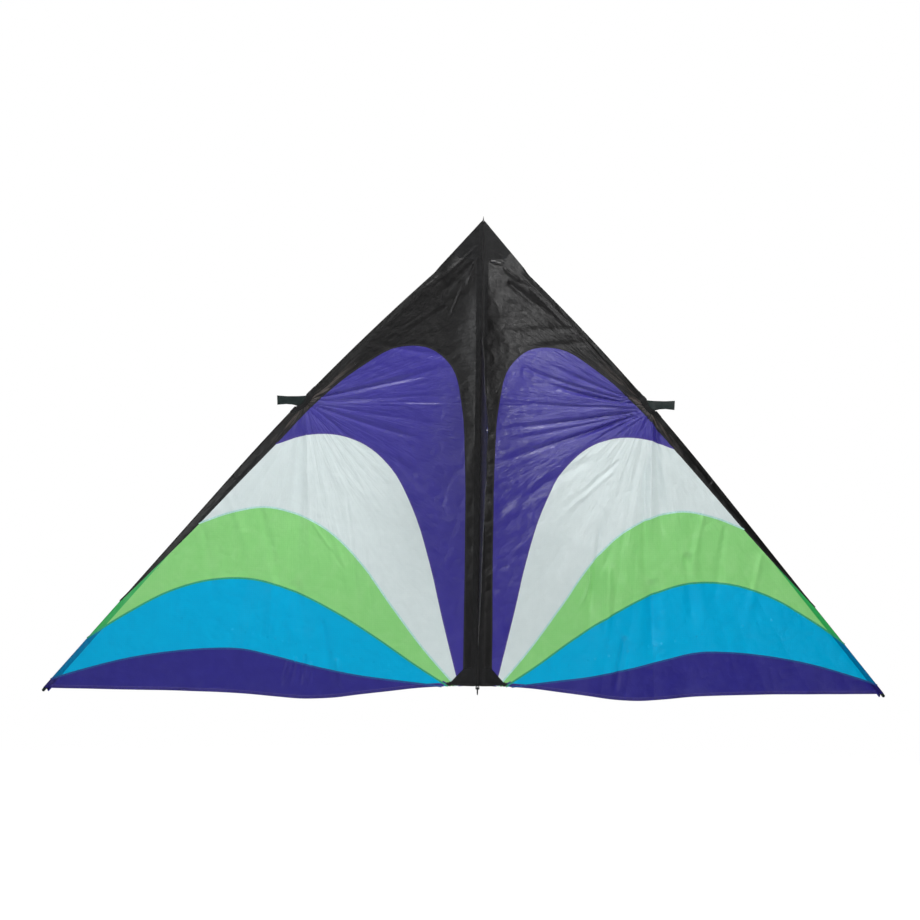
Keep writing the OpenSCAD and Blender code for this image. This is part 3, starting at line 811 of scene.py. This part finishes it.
def add_cloth_attributes(obj, u, v, seed):
    """What the ripstop material reads: the flat place, the leading edge inset and the connector's fan."""
    away, angle = around_connector(u, v)
    fan = np.stack([angle / 6 + seed, away * 7, np.full_like(u, seed)], axis=1)
    strength = np.exp(-((away / FAN_REACH) ** 2)) * smooth(away, 0.004, 0.02) * np.minimum(away / 0.07, 1)
    inset = edge_place(u, v)[1]
    add_attributes(obj, flat=flat_place(u, v), fan=fan, fan_strength=strength, inset=inset)


def finish_cloth(obj, body, slot_name, *nodes):
    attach(obj, body)
    if nodes:
        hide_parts(*nodes)
    return obj


class Surface:
    """Sheets that share one flat plane, (u, v), with a relief n. place maps (u, v, n) to the row frame."""

    def __init__(self, place, relief):
        self.place = place
        self.relief = relief
        zero = np.zeros(1)
        self.axes = place(*np.eye(3)) - place(zero, zero, zero)
        self.mirrored = np.linalg.det(self.axes) < 0

    def normals(self, u, v):
        e = 0.4 * MM
        slope_u = (self.relief(u + e, v) - self.relief(u - e, v)) / (2 * e)
        slope_v = (self.relief(u, v + e) - self.relief(u, v - e)) / (2 * e)
        out = np.stack([-slope_u, -slope_v, np.ones_like(u)], axis=1)
        return (out / np.linalg.norm(out, axis=1, keepdims=True)) @ self.axes

    def cloth(self, name, u, v, tris, material, lift=0.0, thickness=CLOTH_T):
        """Cloth at the flat places (u, v), raised by lift. thickness may differ from point to point."""
        normals = self.normals(u, v)
        middle = self.place(u, v, self.relief(u, v)) + normals * lift
        half = normals * np.reshape(thickness, (-1, 1)) / 2
        if self.mirrored:
            tris = tris[:, ::-1]
        return shell(name, middle + half, middle - half, tris, material, normals)

    def strip(self, name, curve, width, material, slot_name, body, rise=0.5 * MM, shift=0.0):
        """A sewn strip that straddles the cloth along a curve, domed on both faces. shift moves it to the
        left of the curve's direction."""
        line, at = resampled(curve, STRIP_STEP)
        ahead = np.gradient(line, axis=0)
        ahead /= np.linalg.norm(ahead, axis=1, keepdims=True)
        sideways = np.stack([-ahead[:, 1], ahead[:, 0]], axis=1)
        across = STRIP_ACROSS * width / 2 + shift
        u, v = (line[:, None] + sideways[:, None] * across[None, :, None]).reshape(-1, 2).T
        thickness = CLOTH_T * 0.8 + 2 * rise * np.tile(STRIP_RISE, len(line))
        tris = grid_triangles(len(line), len(across))
        obj = self.cloth(name, u, v, tris, material, thickness=thickness)
        in_strip = flat_place(np.repeat(at, len(across)), np.tile(STRIP_ACROSS, len(line)))
        add_attributes(obj, strip=in_strip, flat=flat_place(u, v))
        return finish_cloth(obj, body, slot_name)

    def patch(self, name, loops, body, lift, thickness):
        """A stiff tape patch with stitches near its border."""
        flat, tris = filled(loops, 2.5 * MM)
        u, v = flat.T
        obj = self.cloth(name, u, v, tris, BLACK_TAPE, lift, thickness)
        border = nearest_gap(flat, np.concatenate([divided(loop, 1 * MM) for loop in loops]))
        add_attributes(obj, border=border, flat=flat_place(u, v))
        declare_cut(obj, loops)
        return finish_cloth(obj, body, "black_tape")


STRIP_STEP = 4 * MM
STRIP_ACROSS = np.array([-1.0, -0.82, 0.0, 0.82, 1.0])
STRIP_RISE = np.array([0.0, 0.8, 1.0, 0.8, 0.0])


def resampled(curve, step):
    gaps = np.linalg.norm(np.diff(curve, axis=0), axis=1)
    along = np.concatenate([[0], np.cumsum(gaps)])
    at = np.linspace(0, along[-1], max(2, round(along[-1] / step) + 1))
    return np.stack([np.interp(at, along, curve[:, k]) for k in (0, 1)], axis=1), at


def grid_triangles(rows, columns):
    """Triangles of a grid whose rows run along a strip and whose columns run to its left."""
    i, j = np.meshgrid(np.arange(rows - 1), np.arange(columns - 1), indexing="ij")
    a = (i * columns + j).ravel()
    b, c, d = a + columns, a + columns + 1, a + 1
    return np.concatenate([np.stack([a, b, c], axis=1), np.stack([a, c, d], axis=1)])


def ring_triangles(rings, count):
    """Triangles between rings of count points each, where a ring closes on itself."""
    k, j = (x.ravel() for x in np.meshgrid(np.arange(rings - 1), np.arange(count), indexing="ij"))
    a, b = k * count + j, k * count + (j + 1) % count
    pairs = [np.stack([a, a + count, b + count], axis=1), np.stack([a, b + count, b], axis=1)]
    return np.stack(pairs, axis=1).reshape(-1, 3)


WINGS = {
    side: Surface(
        lambda u, v, n, side=side: from_wing(side, u, v, n), lambda u, v, side=side: relief(side, u, v)
    )
    for side in SIDES
}


# ---- Panels of each wing

ARCHES = ("purple", "white", "green", "blue", "violet")
PANEL_CLOTH = {"nose_panel": "black_ripstop", "edge_band": "black_ripstop", "centre_band": "black_ripstop"}
PANEL_CLOTH.update({f"{hue}_panel": f"{hue}_ripstop" for hue in ARCHES})
GRID = 4.2 * MM
SLEEVE_ROWS = [x * MM for x in (0.5, 1.3, 2.6, 4.4, 6.8, 9.6, 12.4, 14.6, 15.6)]
LOOPS = {p: front_loops("right_" + p, to_wing, 1) for p in PANEL_CLOTH}


def find_tail_edge():
    """The free lower edge of a wing, from the hinge to the tip."""
    every = np.concatenate([divided(loop, GRID) for loops in LOOPS.values() for loop in loops])
    keys, counts = np.unique(np.round(every / 2e-5).astype(np.int64), axis=0, return_counts=True)
    once = keys[counts == 1] * 2e-5
    _, inset = edge_place(once[:, 0], once[:, 1])
    lower = once[(inset > 0.5 * MM) & (once[:, 1] < 0.04) & (once[:, 0] > 6.5 * MM)]
    return lower[np.argsort(lower[:, 0])]


TAIL_EDGE = find_tail_edge()


def tail_height(u):
    return np.interp(u, TAIL_EDGE[:, 0], TAIL_EDGE[:, 1])


def sleeve_lattice():
    along = np.arange(LE_TOP_S - 0.02, LE_TIP_S, 4.0 * MM)
    return np.concatenate([edge_point(along + (k % 2) * 2 * MM, d) for k, d in enumerate(SLEEVE_ROWS)])


def off_sleeve(points):
    return edge_place(points[:, 0], points[:, 1])[1] > SLEEVE_ROWS[-1] + 0.6 * GRID


def make_panels():
    rows = sleeve_lattice()
    for panel, cloth in PANEL_CLOTH.items():
        flat, tris = filled(LOOPS[panel], GRID, rows, off_sleeve)
        u, v = flat.T
        for side in SIDES:
            obj = WINGS[side].cloth(f"{side}_{panel}_cloth", u, v, tris, CLOTHS[cloth])
            add_cloth_attributes(obj, u, v, NOISE_SEEDS[side])
            finish_cloth(obj, f"{side}_wing", cloth, f"{side}_{panel}")
            rests_on = [f"{side}_upper_spar", f"{side}_lower_spar", "centre_seam"]
            declare_cut(obj, LOOPS[panel], rests_on=rests_on)


# ---- Sewn strips along curves on a wing


def shared_run(first, second):
    """The stretch of one panel's outline that is also on another's, in order."""
    loop = LOOPS[first][0]
    other = {tuple(k) for k in np.round(np.concatenate(LOOPS[second]) / 2e-5).astype(int)}
    near = {(a + i, b + j) for a, b in other for i in (-1, 0, 1) for j in (-1, 0, 1)}
    on = [tuple(k) in near for k in np.round(loop / 2e-5).astype(int)]
    runs = []
    for start in [k for k in range(len(loop)) if on[k] and not on[k - 1]]:
        run = []
        k = start
        while on[k % len(loop)] and len(run) < len(loop):
            run.append(loop[k % len(loop)])
            k += 1
        runs.append(np.array(run))
    return max(runs, key=len)


def from_high(curve, axis=0):
    """A curve turned so that it starts where u, or v for axis 1, is greater."""
    return curve if curve[0][axis] > curve[-1][axis] else curve[::-1]


def arch_seam(upper, lower):
    """The seam between two arches, from the leading edge to the tail edge."""
    return from_high(shared_run(f"{upper}_panel", f"{lower}_panel"))


SEAM_WIDTH = 4.6 * MM
BLACK_HEM_END = 0.084
VIOLET_HEM = (0.078, 1.09)


def black_seam():
    """The inner edge of the black cloth, from the leading edge over the purple arch to the tail edge."""
    outer = [shared_run(f"{hue}_panel", "edge_band") for hue in ("green", "white", "purple")]
    top = shared_run("purple_panel", "nose_panel")
    down = shared_run("purple_panel", "centre_band")
    return unrepeated(np.concatenate([from_high(p) for p in outer + [top]] + [from_high(down, 1)]))


def unrepeated(curve):
    gaps = np.linalg.norm(np.diff(curve, axis=0), axis=1)
    return curve[np.concatenate([[True], gaps > 0.5 * MM])]


def make_seams():
    seams = {hue: arch_seam(hue, lower) for hue, lower in zip(ARCHES, ARCHES[1:])}
    for hue, curve in {"black": black_seam(), **seams}.items():
        for side in SIDES:
            WINGS[side].strip(
                f"{side}_{hue}_seam", curve, SEAM_WIDTH, SEAM_CLOTHS[hue], f"{hue}_ripstop", f"{side}_wing"
            )
    u = TAIL_EDGE[:, 0]
    on_violet = (u > VIOLET_HEM[0]) & (u < VIOLET_HEM[1])
    hems = {"black": TAIL_EDGE[u < BLACK_HEM_END], "violet": TAIL_EDGE[on_violet]}
    for side in SIDES:
        for hue, curve in hems.items():
            WINGS[side].strip(
                f"{side}_tail_hem_{hue}", curve, HEM_WIDTH, HEM_CLOTHS[hue], f"{hue}_ripstop",
                f"{side}_wing", rise=0.4 * MM, shift=HEM_WIDTH / 2 - 0.4 * MM,
            )


# ---- Leading edge sleeves: the cloth's return behind the rod


def pocket(name, place, along, section, rod, cloth, seed):
    """A cloth pocket round the back of a rod at (a, b) = rod. place maps (s, a, b) to the row frame, and
    section is its (a, b) points."""
    s = np.repeat(along, len(section))
    a, b = np.tile(section.T, len(along))
    points = place(s, a, b)
    outward = points - place(s, np.full_like(a, rod[0]), np.full_like(b, rod[1]))
    tris = grid_triangles(len(along), len(section))
    normals = surface_normals(points, tris)
    if (normals * outward).sum() < 0:
        tris, normals = tris[:, ::-1], -normals
    around = np.tile(np.linspace(0, 1, len(section)), len(along))
    wave = 0.45 * MM * value_noise(s, around * 0.03, 0.014, seed + 8)
    wave *= smooth(around, 0.02, 0.2) * (1 - smooth(around, 0.8, 0.98))
    points = points + normals * (wave - CLOTH_T / 2)[:, None]
    half = normals * CLOTH_T / 2
    obj = shell(name, points + half, points - half, tris, CLOTHS[cloth], normals)
    girth = float(np.linalg.norm(np.diff(section, axis=0), axis=1).sum())
    return obj, s, around * girth, girth


def sleeve_section():
    """(inset, n) points from the outer edge round the back of the rod to the line of stitches."""
    turn = np.radians(np.linspace(180, 318, 12))
    points = [(SLEEVE_R + SLEEVE_R * math.cos(a), -ROD_BACK + SLEEVE_R * math.sin(a)) for a in turn]
    last = points[-1]
    end = (SLEEVE_WIDTH, -0.9 * MM)
    points += [(last[0] + (end[0] - last[0]) * t, last[1] + (end[1] - last[1]) * t) for t in (0.35, 0.7, 1)]
    return np.array(points + [(SLEEVE_WIDTH + 3 * MM, -0.75 * MM)])


def make_sleeve(side, name, start, end, cloth, *nodes):
    def place(s, inset, n):
        u, v = edge_point(s, inset).T
        return from_wing(side, u, v, n)

    section = sleeve_section()
    seed = NOISE_SEEDS[side]
    along = np.linspace(start, end, max(2, round((end - start) / STRIP_STEP) + 1))
    rod = (SLEEVE_R, -ROD_BACK)
    obj, s, _, girth = pocket(f"{side}_{name}", place, along, section, rod, cloth, seed)
    u, v = edge_point(s, np.tile(section[:, 0], len(along))).T
    add_cloth_attributes(obj, u, v, seed)
    finish_cloth(obj, f"{side}_wing", cloth, *nodes)


def edge_end(panel):
    """How far along the leading edge a panel reaches towards the tip."""
    points = np.concatenate(LOOPS[panel])
    s, inset = edge_place(points[:, 0], points[:, 1])
    return float(s[inset < 0.3 * MM].max())


def make_sleeves():
    upper_end, lower_start = CONNECTOR_S - SLEEVE_GAP, CONNECTOR_S + SLEEVE_GAP
    ends = [lower_start] + [edge_end(panel) for panel in ("edge_band", "green_panel", "blue_panel")]
    ends.append(LE_TIP_S - CLOTH_PAST_TIP)
    for side in SIDES:
        node = f"{side}_upper_sleeve"
        make_sleeve(side, "upper_sleeve_cloth", LE_TOP_S, upper_end, "black_ripstop", node)
        for hue, start, end in zip(("black", "green", "blue", "violet"), ends, ends[1:]):
            nodes = [f"{side}_lower_sleeve"] if hue == "black" else []
            make_sleeve(side, f"lower_sleeve_{hue}", start, end, f"{hue}_ripstop", *nodes)


# ---- Patches

PATCH_LIFT = 0.9 * MM
PATCH_T = 0.8 * MM


def make_patches():
    for side in SIDES:
        for name in ("nose_patch", "tail_patch", "notch_patch"):
            loops = front_loops("right_" + name, to_wing, 1)
            obj = WINGS[side].patch(f"{side}_{name}_tape", loops, f"{side}_wing", PATCH_LIFT, PATCH_T)
            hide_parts(f"{side}_{name}")


# ---- The centre: fold strips over the hinge, the binding behind it, and the spine's sleeve

STRIP_IN = 0.9 * MM
STRIP_OUT = 15 * MM
NOSE_RISE = 14 * MM
TIP_IN = 0.1 * MM
FOLD_LIFT = 0.45 * MM
FOLD_T = 0.7 * MM
NO_STITCHES = 10 * MM


def fold_outline():
    """The cut of a fold strip: a long band that narrows to a thin point above the nose."""
    nose = LOOPS["nose_panel"][0]
    top_u, top_v = nose[np.argmax(nose[:, 1])]
    edge = edge_point(LE_TOP_S + CLOTH_PAST_TOP, 0)
    fall = (top_v - edge[1]) / (edge[0] - top_u)
    foot = tail_height(STRIP_OUT) + 1 * MM
    return np.array([
        (STRIP_IN, foot), (STRIP_OUT, foot), (STRIP_OUT, top_v - fall * (STRIP_OUT - top_u)),
        (top_u, top_v), (1.6 * MM, top_v + 4 * MM), (TIP_IN, top_v + NOSE_RISE),
        (TIP_IN, top_v - 30 * MM), (STRIP_IN, top_v - 40 * MM),
    ])


def make_fold_strips():
    """The cloth that hinges each wing to the spine."""
    outline = fold_outline()
    flat, tris = filled([outline], 3 * MM)
    u, v = flat.T
    for side in SIDES:
        obj = WINGS[side].cloth(f"{side}_fold_strip", u, v, tris, BLACK_TAPE, FOLD_LIFT, FOLD_T)
        add_attributes(obj, flat=flat_place(u, v), border=np.full(len(u), NO_STITCHES))
        declare_cut(obj, [outline], rests_on=["centre_seam"])
        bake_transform(obj)


def make_binding():
    """The centre seam's binding tape, behind the sail."""
    low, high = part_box("centre_seam")
    back = (low.y + high.y) / 2

    def place(u, v, n):
        return np.stack([u, back - n, FOOT_Z + v], axis=1)

    line = np.array([(0, low.z - FOOT_Z), (0, high.z - FOOT_Z)])
    obj = Surface(place, lambda u, v: np.zeros_like(u)).strip(
        "centre_binding", line, high.x - low.x, SEAM_CLOTHS["black"], "black_tape", "spine", rise=0.3 * MM
    )
    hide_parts("centre_seam")


def make_spine_sleeve():
    def place(s, a, b):
        return np.stack([a, HINGE_Y - b, s], axis=1)

    low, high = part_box("spine_sleeve")
    turn = np.radians(np.linspace(180, 360, 15))
    rounded = [(SLEEVE_R * math.cos(a), -ROD_BACK + SLEEVE_R * math.sin(a)) for a in turn]
    side = [(SLEEVE_R, -3.4 * MM), (4.4 * MM, -1.5 * MM)]
    section = np.array([(-a, b) for a, b in side[::-1]] + rounded + side)
    along = np.linspace(low.z, high.z, round((high.z - low.z) / STRIP_STEP) + 1)
    rod = (0, -ROD_BACK)
    obj, s, around, girth = pocket("spine_sleeve_cloth", place, along, section, rod, "black_ripstop", 90)
    add_attributes(obj, flat=flat_place(around, s), inset=np.ones(len(s)))
    finish_cloth(obj, "spine", "black_ripstop", "spine_sleeve")


# ---- Keel


def to_keel(points):
    """Row frame to (depth, height, out to the left)."""
    return np.stack([HINGE_Y - points[:, 1], points[:, 2] - FOOT_Z, -points[:, 0]], axis=1)


def from_keel(u, v, n):
    return np.stack([-n, HINGE_Y - u, FOOT_Z + v], axis=1)


def keel_relief(u, v):
    """Soft waves in the keel, none at its seam and few at its tip."""
    loose = smooth(u, 10 * MM, 90 * MM)
    wave = 1.6 * value_noise(u * 1.6, v, 0.09, 71) + 0.8 * value_noise(u + v, v - u, 0.045, 72)
    wave += 0.35 * value_noise(u, v, 0.02, 73)
    near_tip = np.exp(-(((u - KEEL_TIP[0]) / 0.05) ** 2 + ((v - KEEL_TIP[1]) / 0.08) ** 2))
    return wave * MM * loose * (1 - near_tip)


KEEL_TIP = to_keel(np.array([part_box("tow_eyelet")[0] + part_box("tow_eyelet")[1]]) / 2)[0]
KEEL = Surface(from_keel, keel_relief)
KEEL_HEM = 12 * MM
KEEL_T = 0.6 * MM
KEEL_PATCH_LIFT = 0.85 * MM
KEEL_PATCH_T = 0.5 * MM


def make_keel():
    loops = front_loops("keel_panel", to_keel, 1)
    outline = max(loops, key=lambda loop: np.ptp(loop[:, 1]))
    seam = outline[:, 0] < outline[:, 0].min() + 1 * MM
    outline[seam, 0] = 0.4 * MM
    holes = [loop for loop in loops if loop is not outline]
    flat, tris = filled([outline] + holes, 4.5 * MM)
    u, v = flat.T
    obj = KEEL.cloth("keel_cloth", u, v, tris, CLOTHS["keel_cloth"], 0, KEEL_T)
    add_attributes(obj, flat=flat_place(u, v), inset=np.ones(len(u)))
    finish_cloth(obj, "keel", "keel_cloth", "keel_panel")
    declare_cut(obj, [outline] + holes, rests_on=["centre_seam", "tow_eyelet"])
    make_keel_hems(outline)
    make_keel_patches()


def make_keel_hems(outline):
    """A hem along each long free side, which stops short of the seam."""
    sides = [
        (a, b) for a, b in zip(outline, np.roll(outline, -1, axis=0))
        if np.linalg.norm(b - a) > 0.2 and max(a[0], b[0]) > 0.1
    ]
    for k, (a, b) in enumerate(sides):
        along = (b - a) / np.linalg.norm(b - a)
        a = a + along * (KEEL_HEM if a[0] < 5 * MM else 0)
        b = b - along * (KEEL_HEM if b[0] < 5 * MM else 0)
        KEEL.strip(
            f"keel_hem_{k + 1}", np.array([a, b]), KEEL_HEM, HEM_CLOTHS["black"], "keel_cloth", "keel",
            rise=0.45 * MM, shift=KEEL_HEM / 2 - 0.5 * MM,
        )


def make_keel_patches():
    """One patch on each face of the keel's tip."""
    for name, facing in (("left", 1), ("right", -1)):
        loops = [loop[::facing] for loop in front_loops("keel_tip_patch", to_keel, facing)]
        outer = max(loops, key=lambda loop: np.ptp(loop[:, 1]))
        hole = [loop for loop in loops if np.ptp(loop[:, 1]) < 0.03][:1]
        lift = facing * KEEL_PATCH_LIFT
        obj = KEEL.patch(f"keel_tip_patch_{name}", [outer] + hole, "keel", lift, KEEL_PATCH_T)
        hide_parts("keel_tip_patch")


# ---- Tail loop

LOOP_CORD = 2 * MM


def make_tail_loop():
    """A tied loop of cord through the tail cap."""
    low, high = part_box("tail_loop")
    middle = (low + high) / 2
    radius = (high.z - low.z - LOOP_CORD) / 2
    turn = np.linspace(0, 2 * math.pi, 61)
    y, z = middle.y - radius * np.sin(turn), middle.z + radius * np.cos(turn)
    path = np.stack([np.zeros_like(turn), y, z], axis=1)
    ahead = np.gradient(path, axis=0)
    ahead[0] = ahead[-1] = (0, -1, 0)
    ahead /= np.linalg.norm(ahead, axis=1, keepdims=True)
    side = np.array([1.0, 0, 0])
    up = np.cross(ahead, side)[:, None]
    count = 10
    ring = np.linspace(0, 2 * math.pi, count, endpoint=False)
    out = np.cos(ring)[None, :, None] * side + np.sin(ring)[None, :, None] * up
    points = (path[:, None] + LOOP_CORD / 2 * out).reshape(-1, 3)
    last = (len(path) - 1) * count
    start_cap = [(0, j + 1, j) for j in range(1, count - 1)]
    end_cap = [(last, last + j, last + j + 1) for j in range(1, count - 1)]
    faces = np.concatenate([ring_triangles(len(path), count), start_cap, end_cap])
    length = float(np.linalg.norm(np.diff(path, axis=0), axis=1).sum())
    obj = new_mesh("tail_loop_cord", points, faces, CORD)
    along = np.repeat(np.linspace(0, length, len(path)), count)
    add_attribute(obj, "flat", flat_place(along, np.tile(ring, len(path)) * LOOP_CORD / 2))
    finish_cloth(obj, "tail_loop", "cord", "tail_loop")


# ---- CAD parts that stay


def dress(node, material, bevel):
    """A CAD part with its own material and slightly rounded edges."""
    obj = frame["nodes"][node]
    obj.material_slots[0].material = material
    weld = obj.modifiers.new("weld", "WELD")
    weld.merge_threshold = 0.01 * MM
    rounded = obj.modifiers.new("rounded", "BEVEL")
    rounded.width = bevel
    rounded.segments = 2
    rounded.limit_method = "ANGLE"
    rounded.angle_limit = math.radians(40)
    rounded.harden_normals = True
    for polygon in obj.data.polygons:
        polygon.use_smooth = True


def dress_parts():
    for side in SIDES:
        for name in ("upper_spar", "lower_spar", "spreader_rod"):
            dress(f"{side}_{name}", FIBREGLASS, 0.3 * MM)
        dress(f"{side}_spar_ferrule", BRASS, 0.2 * MM)
        dress(f"{side}_connector", VINYL, 0.6 * MM)
        dress(f"{side}_tip_cap", VINYL, 0.5 * MM)
    middle = {
        "spine_upper_rod": (FIBREGLASS, 0.3), "spine_lower_rod": (FIBREGLASS, 0.3),
        "spine_ferrule": (BRASS, 0.2), "spreader_ferrule": (BRASS, 0.2),
        "nose_cap": (VINYL, 0.5), "tail_cap": (VINYL, 0.5),
        "tow_eyelet": (NICKEL, 0.1), "tow_eyelet_washer": (NICKEL, 0.1),
    }
    for name, (material, bevel) in middle.items():
        dress(name, material, bevel * MM)


# ---- Floor and world


FLOOR_DROP = 0.34
FLOOR_RADIUS = 3.4


def floor_paper():
    """Pale paper that fades out towards the floor's rim."""
    made, nodes, shader = start_material("floor_paper", Roughness=0.9, Specular_IOR_Level=0.1)
    place = nodes.add("ShaderNodeTexCoord").outputs["Object"]
    base = nodes.mix(nodes.noise(place, 40, 3, 0.5), linear((244, 244, 244)), linear((250, 250, 250)))
    x, y, _ = nodes.parts(place)
    away = nodes.math("SQRT", nodes.math("ADD", nodes.times(x, x), nodes.times(y, y)))
    alpha = nodes.ramp(away, FLOOR_RADIUS * 0.3, FLOOR_RADIUS * 0.98, 1, 0)
    glow = nodes.times(nodes.add("ShaderNodeLightPath").outputs["Is Camera Ray"], 0.7)
    join(nodes, shader, Base_Color=base, Alpha=alpha, Emission_Color=base, Emission_Strength=glow)
    return made


def make_floor():
    rings, spokes = 24, 96
    radius = np.linspace(0.05, FLOOR_RADIUS, rings)[:, None]
    angle = np.linspace(0, 2 * math.pi, spokes, endpoint=False)
    x = np.append(0, radius * np.cos(angle))
    y = np.append(0, radius * np.sin(angle))
    height = np.full_like(x, cad_bounds[0].z - FLOOR_DROP)
    centre = [(0, 1 + k, 1 + (k + 1) % spokes) for k in range(spokes)]
    faces = np.concatenate([centre, 1 + ring_triangles(rings, spokes)])
    points = np.stack([x, y + HINGE_Y, height], axis=1)
    new_mesh("floor", points, faces, floor_paper())


def make_world():
    """White behind the kite. The light that it gives comes mostly from above."""
    world = bpy.data.worlds.new("studio")
    bpy.context.scene.world = world
    world.use_nodes = True
    world.node_tree.nodes.clear()
    nodes = Nodes(world.node_tree)
    up = nodes.parts(nodes.add("ShaderNodeTexCoord").outputs["Generated"])[2]
    strength = nodes.ramp(up, -0.7, 0.9, 0.01, 0.05)
    lamp = nodes.add("ShaderNodeBackground", {"Color": (0.97, 0.985, 1.0, 1.0), "Strength": strength})
    seen = nodes.add("ShaderNodeBackground", {"Color": (1.0, 1.0, 1.0, 1.0), "Strength": 1.0})
    camera_ray = nodes.add("ShaderNodeLightPath").outputs["Is Camera Ray"]
    choose = nodes.add("ShaderNodeMixShader", {0: camera_ray, 1: lamp.outputs[0], 2: seen.outputs[0]})
    nodes.add("ShaderNodeOutputWorld", {"Surface": choose.outputs[0]})


bpy.context.scene.view_settings.view_transform = "Standard"
make_world()
make_lights()
make_floor()
make_tail_loop()
make_panels()
make_seams()
make_sleeves()
make_patches()
make_fold_strips()
make_binding()
make_spine_sleeve()
make_keel()
dress_parts()
